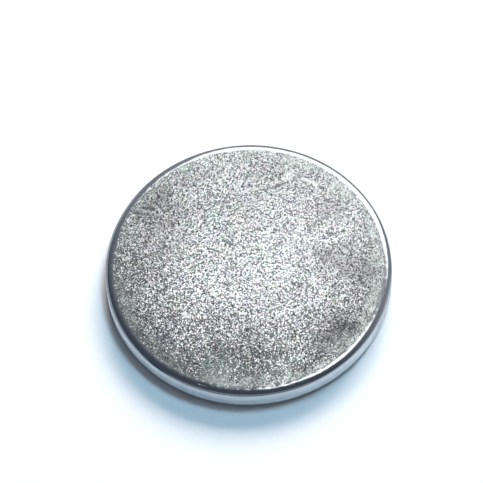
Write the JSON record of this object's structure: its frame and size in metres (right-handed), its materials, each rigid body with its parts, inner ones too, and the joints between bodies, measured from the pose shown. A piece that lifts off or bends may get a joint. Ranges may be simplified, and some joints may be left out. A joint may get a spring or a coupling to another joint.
{
  "type": "disc magnet",
  "caption": "Thin flat disc magnet in bright nickel plate, with grainy satin pole faces and rolled polished edges; holds itself to steel.",
  "frame": {"origin": "centre of the lower pole face, where the disc lies on a table", "axes": "+Z along the disc's axis, out of the upper pole face; X and Y lie in the plane of the disc, which is round, so their direction is free"},
  "size_m": [0.012, 0.012, 0.001],
  "materials": {
    "nickel_plate": "bright nickel plate: grainy satin on the pole faces, polished on the rolled edges and the rim"
  },
  "bodies": {
    "root": {"disc_magnet": "nickel_plate"}
  },
  "joints": []
}
